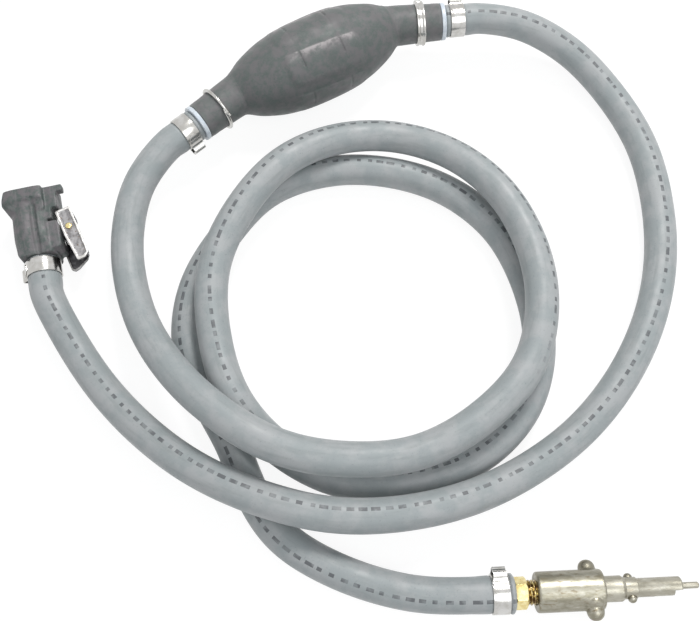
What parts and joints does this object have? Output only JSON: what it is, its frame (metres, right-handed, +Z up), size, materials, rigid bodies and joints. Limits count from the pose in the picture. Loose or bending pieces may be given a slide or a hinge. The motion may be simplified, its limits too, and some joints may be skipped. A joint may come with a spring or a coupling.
{
  "type": "primer bulb fuel line",
  "caption": "Marine fuel line: a rubber squeeze primer bulb with check valves between two hoses, ending in a latching socket connector and a bayonet plug.",
  "frame": {"origin": "under the middle of the bulb assembly, on the surface that the fuel line lies on", "axes": "+X along the bulb from the tank side to the engine side, +Z up from the surface, +Y away from the coiled hoses"},
  "size_m": [0.3186, 0.3321, 0.0457],
  "materials": {
    "bulb_rubber": "weathered matt black rubber with paler worn edges",
    "hose_rubber": "smooth blue-grey hose cover with a slight sheen",
    "seal_rubber": "smooth black",
    "white_acetal": "moulded, slightly bluish white",
    "black_plastic": "moulded glass-filled black, a little faded",
    "stainless": "bright rolled stainless steel strip",
    "spring_steel": "drawn spring wire",
    "brass": "turned, slightly dulled",
    "worn_nickel": "worn warm grey nickel plate with fine pits"
  },
  "bodies": {
    "root": {"inlet_barb_fitting": "white_acetal", "inlet_valve_spring": "spring_steel", "inlet_valve_cage": "stainless", "outlet_barb_fitting": "white_acetal", "outlet_valve_spring": "spring_steel", "outlet_valve_seat": "stainless", "inlet_neck_ring": "stainless", "outlet_neck_band": "stainless", "inlet_hose_clamp": "stainless", "outlet_hose_clamp": "stainless", "tank_hose": "hose_rubber", "engine_hose": "hose_rubber", "connector_hose_clamp": "stainless", "connector_body": "black_plastic", "connector_barb": "brass", "port_valve_spring": "spring_steel", "port_seal": "seal_rubber", "latch_rivet": "brass", "latch_spring": "spring_steel", "bayonet_hose_clamp": "stainless", "bayonet_barb": "brass", "bayonet_barrel": "worn_nickel", "bayonet_nozzle": "worn_nickel", "bayonet_lock_studs": "worn_nickel", "needle_spring": "spring_steel", "needle_spring_clip": "stainless"},
    "bulb": {"primer_bulb": "bulb_rubber"},
    "inlet_valve": {"inlet_valve_disc": "brass"},
    "outlet_valve": {"outlet_valve_disc": "brass"},
    "port_valve": {"port_valve": "brass"},
    "latch": {"latch_lever": "stainless"},
    "needle": {"bayonet_needle": "worn_nickel", "needle_seal": "seal_rubber"}
  },
  "joints": [
    {"name": "bulb_squeeze", "type": "slide", "parent": "root", "child": "bulb", "axis": [0, 0, -1], "range_m": [0, 0.014], "stiffness_N_per_m": 2500, "deforming": ["primer_bulb"]},
    {"name": "inlet_valve_lift", "type": "slide", "parent": "root", "child": "inlet_valve", "axis": [0.9744, 0.225, 0], "range_m": [0, 0.002], "stiffness_N_per_m": 50, "deforming": ["inlet_valve_spring"]},
    {"name": "outlet_valve_lift", "type": "slide", "parent": "root", "child": "outlet_valve", "axis": [0.9272, -0.3746, 0], "range_m": [0, 0.002], "stiffness_N_per_m": 50, "deforming": ["outlet_valve_spring"]},
    {"name": "port_valve_push", "type": "slide", "parent": "root", "child": "port_valve", "axis": [-0.2588, -0.9659, 0], "range_m": [0, 0.003], "stiffness_N_per_m": 200, "deforming": ["port_valve_spring"]},
    {"name": "latch_turn", "type": "hinge", "parent": "root", "child": "latch", "pos_m": [-0.14831, -0.02634, 0.013], "axis": [0, 0, -1], "range_deg": [0, 12], "stiffness_Nm_per_rad": 0.05, "deforming": ["latch_spring"]},
    {"name": "needle_push", "type": "slide", "parent": "root", "child": "needle", "axis": [-0.9011, 0.4337, 0], "range_m": [0, 0.003], "stiffness_N_per_m": 300, "deforming": ["needle_spring"]}
  ]
}
